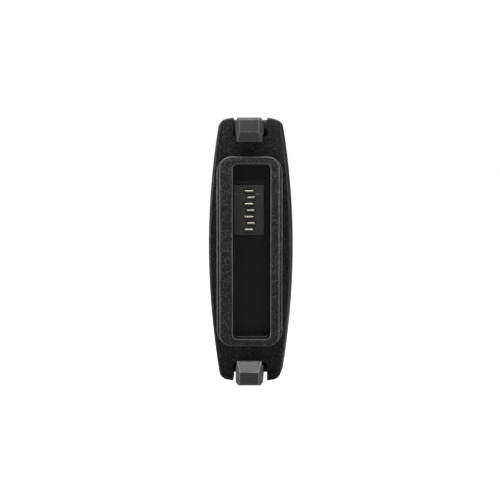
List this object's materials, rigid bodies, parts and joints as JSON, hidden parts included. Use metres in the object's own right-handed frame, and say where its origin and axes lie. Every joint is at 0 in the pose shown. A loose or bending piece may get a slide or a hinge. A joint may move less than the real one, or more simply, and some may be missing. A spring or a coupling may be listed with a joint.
{
  "type": "wireless bodypack transmitter",
  "caption": "Slim black bodypack transmitter standing on its narrow side: two-part case, battery dock with sprung contacts and latch hooks, aerial, microphone socket and display.",
  "frame": {"origin": "middle of the dock face, where the battery pack seats", "axes": "+X out of the broad side with the display, +Y from the dock towards the aerial, +Z along the case's width, upwards as it stands on its lower narrow side"},
  "size_m": [0.0202, 0.1323, 0.0618],
  "materials": {
    "case_plastic": "fine spark-eroded black",
    "collar_plastic": "fine spark-eroded black",
    "contact_plastic": "smooth satin black",
    "latch_plastic": "satin dark grey",
    "contact_metal": "bright plated spring metal",
    "steel": "plain steel",
    "circuit_board": "green solder mask",
    "chip": "moulded black",
    "brass": "turned",
    "display_glass": "dark glossy panel",
    "lens": "smoked clear",
    "key_rubber": "soft dark grey",
    "plunger": "natural",
    "seal_rubber": "black",
    "black_metal": "black anodised satin",
    "aerial_rubber": "satin black",
    "slider": "satin dark grey"
  },
  "bodies": {
    "housing": {"back_shell": "case_plastic", "front_shell": "case_plastic", "dock_collar": "collar_plastic", "contact_carrier": "contact_plastic", "contact_block": "contact_plastic", "contact_board": "circuit_board", "board_header": "contact_plastic", "main_board": "circuit_board", "radio_shield": "steel", "radio_chips": "chip", "board_spacers": "brass", "ui_board": "circuit_board", "display_module": "display_glass", "display_lens": "lens", "key_switches": "chip", "case_screws": "steel", "top_panel": "case_plastic", "panel_gasket": "seal_rubber", "mute_switch": "contact_plastic", "light_pipe": "lens", "status_lamp": "chip", "top_board": "circuit_board", "audio_socket": "black_metal", "audio_insulator": "contact_plastic", "audio_pins": "contact_metal", "audio_nut": "brass", "aerial_nut": "brass", "aerial_stud": "brass", "aerial_ferrule": "black_metal", "aerial_sleeve": "aerial_rubber", "aerial_rod": "brass", "upper_clip_bush": "brass", "lower_clip_bush": "brass", "upper_latch_pin": "steel", "lower_latch_pin": "steel", "upper_latch_spring": "steel", "lower_latch_spring": "steel"},
    "upper_latch": {"upper_latch": "latch_plastic"},
    "lower_latch": {"lower_latch": "latch_plastic"},
    "mute_slider": {"mute_knob": "slider"},
    "contact_1": {"contact_1": "contact_metal"},
    "contact_2": {"contact_2": "contact_metal"},
    "contact_3": {"contact_3": "contact_metal"},
    "contact_4": {"contact_4": "contact_metal"},
    "contact_5": {"contact_5": "contact_metal"},
    "contact_6": {"contact_6": "contact_metal"},
    "contact_7": {"contact_7": "contact_metal"},
    "down_key": {"down_key": "key_rubber", "down_key_plunger": "plunger"},
    "set_key": {"set_key": "key_rubber", "set_key_plunger": "plunger"},
    "up_key": {"up_key": "key_rubber", "up_key_plunger": "plunger"}
  },
  "joints": [
    {"name": "upper_latch_pivot", "type": "hinge", "parent": "housing", "child": "upper_latch", "pos_m": [0, 0.012, 0.0282], "axis": [-1, 0, 0], "range_deg": [0, 5], "stiffness_Nm_per_rad": 0.1, "springref_deg": -5.73, "deforming": ["upper_latch_spring"]},
    {"name": "lower_latch_pivot", "type": "hinge", "parent": "housing", "child": "lower_latch", "pos_m": [0, 0.012, -0.0282], "axis": [1, 0, 0], "range_deg": [0, 5], "stiffness_Nm_per_rad": 0.1, "springref_deg": -5.73, "deforming": ["lower_latch_spring"]},
    {"name": "contact_1_press", "type": "slide", "parent": "housing", "child": "contact_1", "axis": [0, 1, 0], "range_m": [0, 0.0006], "stiffness_N_per_m": 200},
    {"name": "contact_2_press", "type": "slide", "parent": "housing", "child": "contact_2", "axis": [0, 1, 0], "range_m": [0, 0.0006], "stiffness_N_per_m": 200},
    {"name": "contact_3_press", "type": "slide", "parent": "housing", "child": "contact_3", "axis": [0, 1, 0], "range_m": [0, 0.0006], "stiffness_N_per_m": 200},
    {"name": "contact_4_press", "type": "slide", "parent": "housing", "child": "contact_4", "axis": [0, 1, 0], "range_m": [0, 0.0006], "stiffness_N_per_m": 200},
    {"name": "contact_5_press", "type": "slide", "parent": "housing", "child": "contact_5", "axis": [0, 1, 0], "range_m": [0, 0.0006], "stiffness_N_per_m": 200},
    {"name": "contact_6_press", "type": "slide", "parent": "housing", "child": "contact_6", "axis": [0, 1, 0], "range_m": [0, 0.0006], "stiffness_N_per_m": 200},
    {"name": "contact_7_press", "type": "slide", "parent": "housing", "child": "contact_7", "axis": [0, 1, 0], "range_m": [0, 0.0006], "stiffness_N_per_m": 200},
    {"name": "down_key_press", "type": "slide", "parent": "housing", "child": "down_key", "axis": [-1, 0, 0], "range_m": [0, 0.0005], "stiffness_N_per_m": 200},
    {"name": "set_key_press", "type": "slide", "parent": "housing", "child": "set_key", "axis": [-1, 0, 0], "range_m": [0, 0.0005], "stiffness_N_per_m": 200},
    {"name": "up_key_press", "type": "slide", "parent": "housing", "child": "up_key", "axis": [-1, 0, 0], "range_m": [0, 0.0005], "stiffness_N_per_m": 200},
    {"name": "mute_slide", "type": "slide", "parent": "housing", "child": "mute_slider", "axis": [0, 0, 1], "range_m": [0, 0.003]}
  ]
}
